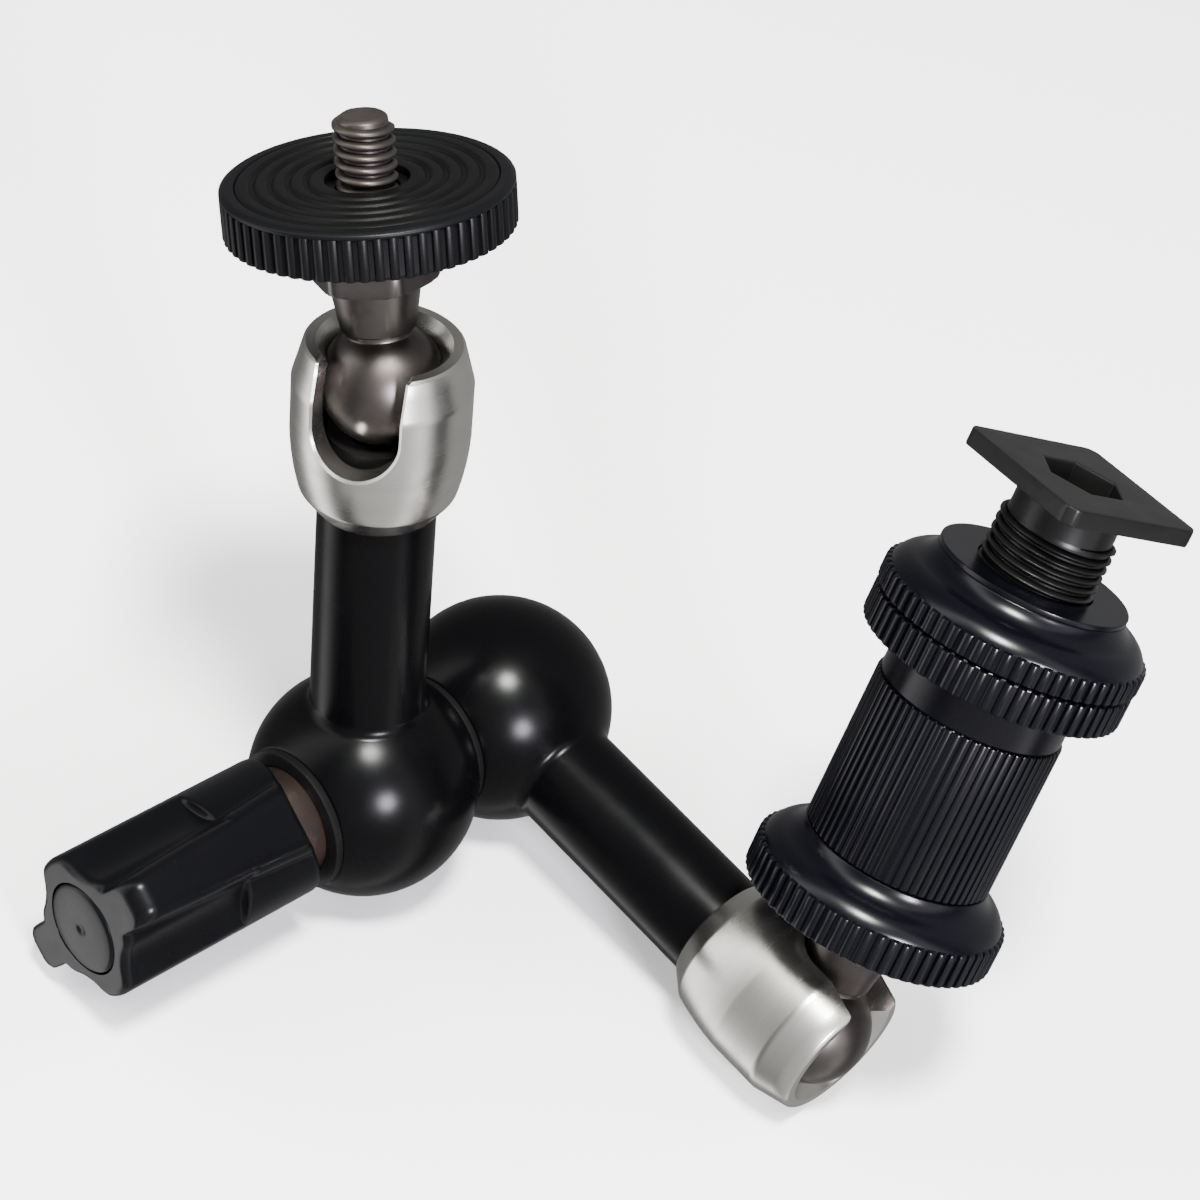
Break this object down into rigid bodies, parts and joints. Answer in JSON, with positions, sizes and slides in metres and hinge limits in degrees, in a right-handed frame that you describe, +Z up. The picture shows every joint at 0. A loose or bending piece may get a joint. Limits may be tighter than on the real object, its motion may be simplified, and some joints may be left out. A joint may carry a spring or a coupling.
{
  "type": "articulating friction arm",
  "caption": "Black articulating arm: ball-ended tubes lock at an elbow with a winged knob; slotted ball sockets carry a screw disc and a camera shoe adapter.",
  "frame": {"origin": "on the table, below the middle of the bounding box of the arm as it rests", "axes": "+Z up from the table, +Y along the elbow axis away from the knob, +X along the lower tube"},
  "size_m": [0.0964, 0.0972, 0.0927],
  "materials": {
    "black_anodised": "smooth satin black anodised",
    "black_polymer": "plain black",
    "plain_steel": "ground",
    "bronze": "dark oxidised bronze",
    "knob_plastic": "moulded black, semi-gloss",
    "insert_brass": "turned",
    "turned_steel": "fine turned rings, satin",
    "dark_steel": "blackened, oxidised in places",
    "disc_black": "moulded matt black",
    "pad_rubber": "matt black, grooved",
    "wheel_black": "glossy black anodised, ribbed",
    "shoe_black": "satin black anodised"
  },
  "bodies": {
    "upper_arm": {"upper_arm": "black_anodised", "elbow_washer": "black_polymer", "dust_washer": "black_polymer", "upper_retaining_ring": "plain_steel", "release_spring": "plain_steel"},
    "thrust": {"thrust_bushing": "bronze", "cone_wedge": "plain_steel"},
    "knob": {"knob_body": "knob_plastic", "knob_insert": "insert_brass", "knob_cap": "knob_plastic"},
    "draw_bolt": {"draw_bolt": "plain_steel"},
    "upper_rod": {"upper_push_rod": "plain_steel", "upper_ball_seat": "plain_steel"},
    "lower_arm": {"lower_arm": "black_anodised", "lower_retaining_ring": "plain_steel"},
    "lower_rod": {"lower_push_rod": "plain_steel", "lower_ball_seat": "plain_steel"},
    "upper_socket": {"upper_socket_sleeve": "turned_steel"},
    "upper_stud": {"upper_ball_stud": "dark_steel"},
    "mounting_disc": {"mounting_disc": "disc_black", "grip_pad": "pad_rubber"},
    "lower_socket": {"lower_socket_sleeve": "turned_steel"},
    "lower_stud": {"lower_ball_stud": "dark_steel"},
    "lock_wheel": {"lock_wheel": "wheel_black"},
    "adapter": {"adapter_barrel": "wheel_black", "shoe_stem": "shoe_black"},
    "jam_wheel": {"jam_wheel": "wheel_black"},
    "clamp_slide": {"pressure_washer": "wheel_black"},
    "clamp_wheel": {"clamp_wheel": "wheel_black"}
  },
  "joints": [
    {"name": "bushing_push", "type": "slide", "parent": "upper_arm", "child": "thrust", "axis": [0, 1, 0], "range_m": [0, 0.00061]},
    {"name": "knob_turn", "type": "hinge", "parent": "thrust", "child": "knob", "pos_m": [-0.01701, -0.00915, 0.013], "axis": [0, 1, 0], "range_deg": [0, 540]},
    {"name": "bolt_pull", "type": "slide", "parent": "upper_arm", "child": "draw_bolt", "axis": [0, -1, 0], "range_m": [0, 0.00061]},
    {"name": "upper_rod_push", "type": "slide", "parent": "upper_arm", "child": "upper_rod", "axis": [-0.1822, 0, 0.9833], "range_m": [0, 0.00035]},
    {"name": "elbow", "type": "hinge", "parent": "upper_arm", "child": "lower_arm", "pos_m": [-0.01701, -0.00915, 0.013], "axis": [0, 1, 0], "continuous": true},
    {"name": "lower_rod_push", "type": "slide", "parent": "lower_arm", "child": "lower_rod", "axis": [0.9977, 0, -0.0672], "range_m": [0, 0.00035]},
    {"name": "upper_socket_turn", "type": "hinge", "parent": "upper_arm", "child": "upper_socket", "pos_m": [-0.02659, -0.00915, 0.06472], "axis": [-0.1822, 0, 0.9833], "continuous": true},
    {"name": "upper_stud_tilt", "type": "hinge", "parent": "upper_socket", "child": "upper_stud", "pos_m": [-0.02659, -0.00915, 0.06472], "axis": [0.7451, 0.6669, 0.0108], "range_deg": [-15, 105]},
    {"name": "mounting_disc_turn", "type": "hinge", "parent": "upper_stud", "child": "mounting_disc", "pos_m": [-0.02659, -0.00915, 0.06472], "axis": [-0.3549, 0.0094, 0.9349], "continuous": true},
    {"name": "lower_socket_turn", "type": "hinge", "parent": "lower_arm", "child": "lower_socket", "pos_m": [0.03547, 0.01185, 0.00947], "axis": [0.9977, 0, -0.0672], "continuous": true},
    {"name": "lower_stud_tilt", "type": "hinge", "parent": "lower_socket", "child": "lower_stud", "pos_m": [0.03547, 0.01185, 0.00947], "axis": [-0.0261, 0.9212, -0.3882], "range_deg": [-2, 120]},
    {"name": "lock_wheel_turn", "type": "hinge", "parent": "lower_stud", "child": "lock_wheel", "pos_m": [0.03547, 0.01185, 0.00947], "axis": [-0.1088, 0.3834, 0.9171], "continuous": true},
    {"name": "adapter_turn", "type": "hinge", "parent": "lower_stud", "child": "adapter", "pos_m": [0.03547, 0.01185, 0.00947], "axis": [-0.1088, 0.3834, 0.9171], "continuous": true},
    {"name": "jam_wheel_turn", "type": "hinge", "parent": "adapter", "child": "jam_wheel", "pos_m": [0.03547, 0.01185, 0.00947], "axis": [-0.1088, 0.3834, 0.9171], "continuous": true},
    {"name": "clamp_rise", "type": "slide", "parent": "adapter", "child": "clamp_slide", "axis": [-0.1088, 0.3834, 0.9171], "range_m": [0, 0.00705]},
    {"name": "clamp_wheel_turn", "type": "hinge", "parent": "clamp_slide", "child": "clamp_wheel", "pos_m": [0.03547, 0.01185, 0.00947], "axis": [-0.1088, 0.3834, 0.9171], "range_deg": [0, 2520]}
  ],
  "couplings": [
    {"joint": "bushing_push", "follows": "knob_turn", "m_per_rad": 0.000063662},
    {"joint": "bolt_pull", "follows": "knob_turn", "m_per_rad": 0.000063662},
    {"joint": "upper_rod_push", "follows": "knob_turn", "m_per_rad": 0.000036755},
    {"joint": "lower_rod_push", "follows": "knob_turn", "m_per_rad": 0.000036755},
    {"joint": "clamp_rise", "follows": "clamp_wheel_turn", "m_per_rad": 0.00015915}
  ]
}
